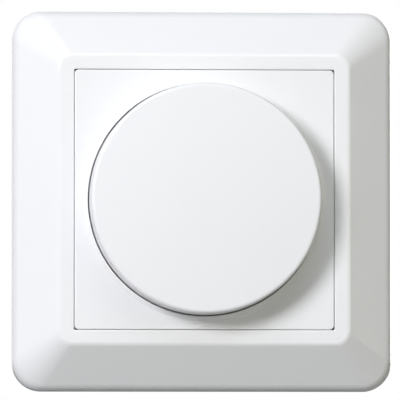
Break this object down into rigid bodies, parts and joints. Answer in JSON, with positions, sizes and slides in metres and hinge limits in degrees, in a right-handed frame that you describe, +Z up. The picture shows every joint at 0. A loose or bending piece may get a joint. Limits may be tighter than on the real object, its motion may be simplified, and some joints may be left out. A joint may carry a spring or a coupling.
{
  "type": "rotary dimmer switch",
  "caption": "Flush-mounted rotary dimmer: square sloped cover frame, square centre plate with a raised round collar, large domed push-and-turn knob, enclosed insert behind.",
  "frame": {"origin": "middle of the two box screw slots, on the back face of the support plate, which is the wall's face", "axes": "+X right, +Y into the wall, +Z up, seen from the room"},
  "size_m": [0.081, 0.042, 0.081],
  "materials": {
    "frame_plastic": "gloss, moulded",
    "plate_plastic": "satin, moulded",
    "knob_plastic": "satin, moulded",
    "spring_steel": "drawn spring steel",
    "plated_steel": "bright zinc plate",
    "plated_sheet": "zinc-plated sheet",
    "housing_plastic": "matt moulded thermoset",
    "shaft_metal": "turned",
    "nickel": "nickel plate",
    "track_board": "phenolic board",
    "tin": "tinned",
    "inner_plastic": "matt moulded",
    "plunger_plastic": "matt moulded",
    "brass": "stamped",
    "board": "laminate with lacquer",
    "ferrite": "sintered ferrite",
    "copper": "enamelled copper wire",
    "film_case": "potted case",
    "timing_case": "potted case",
    "resistor_body": "lacquered",
    "diac_glass": "lacquered",
    "triac_case": "moulded case",
    "thermal_rubber": "silicone pad",
    "fuse_glass": "clear glass with plated caps",
    "trimmer_case": "moulded",
    "trimmer_rotor": "moulded"
  },
  "bodies": {
    "root": {"cover_frame": "frame_plastic", "centre_plate": "plate_plastic", "nut_washer": "plated_steel", "panel_nut": "plated_steel", "fixing_nut": "plated_steel", "support_plate": "plated_sheet", "housing_lid": "housing_plastic", "housing_base": "housing_plastic", "housing_screws": "plated_steel", "potentiometer_bushing": "nickel", "potentiometer_case": "nickel", "potentiometer_track": "track_board", "potentiometer_pins": "tin", "switch_case": "inner_plastic", "return_spring": "spring_steel", "switch_contacts": "tin", "circuit_board": "board", "choke_core": "ferrite", "choke_winding": "copper", "film_capacitor": "film_case", "timing_capacitor": "timing_case", "resistors": "resistor_body", "diac": "diac_glass", "triac": "triac_case", "thermal_pad": "thermal_rubber", "triac_screw": "plated_steel", "triac_nut": "plated_steel", "fuse": "fuse_glass", "fuse_clips": "brass", "trimmer_case": "trimmer_case", "contact_strip_1": "brass", "contact_strip_2": "brass", "contact_strip_3": "brass"},
    "plunger": {"switch_plunger": "plunger_plastic"},
    "spindle": {"shaft": "shaft_metal", "knob": "knob_plastic", "knob_clip": "spring_steel", "shaft_clip": "spring_steel"},
    "wiper": {"wiper_rotor": "inner_plastic", "wiper_contacts": "brass"},
    "lever": {"switch_lever": "brass"},
    "trimmer": {"trimmer_rotor": "trimmer_rotor"},
    "right_claw": {"claw_right": "plated_sheet"},
    "left_claw": {"claw_left": "plated_sheet"},
    "right_claw_screw": {"claw_screw_right": "plated_steel"},
    "left_claw_screw": {"claw_screw_left": "plated_steel"},
    "cage_1": {"terminal_cage_1": "plated_steel"},
    "clamp_screw_1": {"terminal_screw_1": "plated_steel"},
    "cage_2": {"terminal_cage_2": "plated_steel"},
    "clamp_screw_2": {"terminal_screw_2": "plated_steel"},
    "cage_3": {"terminal_cage_3": "plated_steel"},
    "clamp_screw_3": {"terminal_screw_3": "plated_steel"}
  },
  "joints": [
    {"name": "push", "type": "slide", "parent": "root", "child": "plunger", "axis": [0, 1, 0], "range_m": [0, 0.0012], "stiffness_N_per_m": 800, "springref_m": -0.001, "deforming": ["return_spring"]},
    {"name": "turn", "type": "hinge", "parent": "plunger", "child": "spindle", "pos_m": [0, 0, 0], "axis": [0, 1, 0], "range_deg": [0, 270]},
    {"name": "wiper_turn", "type": "hinge", "parent": "root", "child": "wiper", "pos_m": [0, 0, 0], "axis": [0, 1, 0], "range_deg": [0, 270]},
    {"name": "lever_tip", "type": "hinge", "parent": "root", "child": "lever", "pos_m": [0.0054, 0.01355, 0], "axis": [0, 0, 1], "range_deg": [-23.79, 0]},
    {"name": "trimmer_turn", "type": "hinge", "parent": "root", "child": "trimmer", "pos_m": [0.0113, 0, 0.014], "axis": [0, 1, 0], "range_deg": [-105, 105]},
    {"name": "right_claw_screw_turn", "type": "hinge", "parent": "root", "child": "right_claw_screw", "pos_m": [0.02575, 0, -0.0065], "axis": [0, 1, 0], "range_deg": [0, 5041]},
    {"name": "right_claw_spread", "type": "slide", "parent": "root", "child": "right_claw", "axis": [0.2998, -0.954, 0], "range_m": [0, 0.00734]},
    {"name": "left_claw_screw_turn", "type": "hinge", "parent": "root", "child": "left_claw_screw", "pos_m": [-0.02575, 0, 0.0065], "axis": [0, 1, 0], "range_deg": [0, 5041]},
    {"name": "left_claw_spread", "type": "slide", "parent": "root", "child": "left_claw", "axis": [-0.2998, -0.954, 0], "range_m": [0, 0.00734]},
    {"name": "clamp_screw_1_turn", "type": "hinge", "parent": "root", "child": "clamp_screw_1", "pos_m": [-0.0095, 0.0172, 0], "axis": [0, 0, 1], "range_deg": [0, 1321]},
    {"name": "cage_1_clamp", "type": "slide", "parent": "root", "child": "cage_1", "axis": [0, 0, -1], "range_m": [0, 0.0022]},
    {"name": "clamp_screw_2_turn", "type": "hinge", "parent": "root", "child": "clamp_screw_2", "pos_m": [0, 0.0172, 0], "axis": [0, 0, 1], "range_deg": [0, 1321]},
    {"name": "cage_2_clamp", "type": "slide", "parent": "root", "child": "cage_2", "axis": [0, 0, -1], "range_m": [0, 0.0022]},
    {"name": "clamp_screw_3_turn", "type": "hinge", "parent": "root", "child": "clamp_screw_3", "pos_m": [0.0095, 0.0172, 0], "axis": [0, 0, 1], "range_deg": [0, 1321]},
    {"name": "cage_3_clamp", "type": "slide", "parent": "root", "child": "cage_3", "axis": [0, 0, -1], "range_m": [0, 0.0022]}
  ],
  "couplings": [
    {"joint": "wiper_turn", "follows": "turn", "ratio": 1},
    {"joint": "lever_tip", "follows": "push", "rad_per_m": -345.83},
    {"joint": "right_claw_screw_turn", "follows": "right_claw_spread", "rad_per_m": 11988},
    {"joint": "left_claw_screw_turn", "follows": "left_claw_spread", "rad_per_m": 11988},
    {"joint": "clamp_screw_1_turn", "follows": "cage_1_clamp", "rad_per_m": 10472},
    {"joint": "clamp_screw_2_turn", "follows": "cage_2_clamp", "rad_per_m": 10472},
    {"joint": "clamp_screw_3_turn", "follows": "cage_3_clamp", "rad_per_m": 10472}
  ]
}
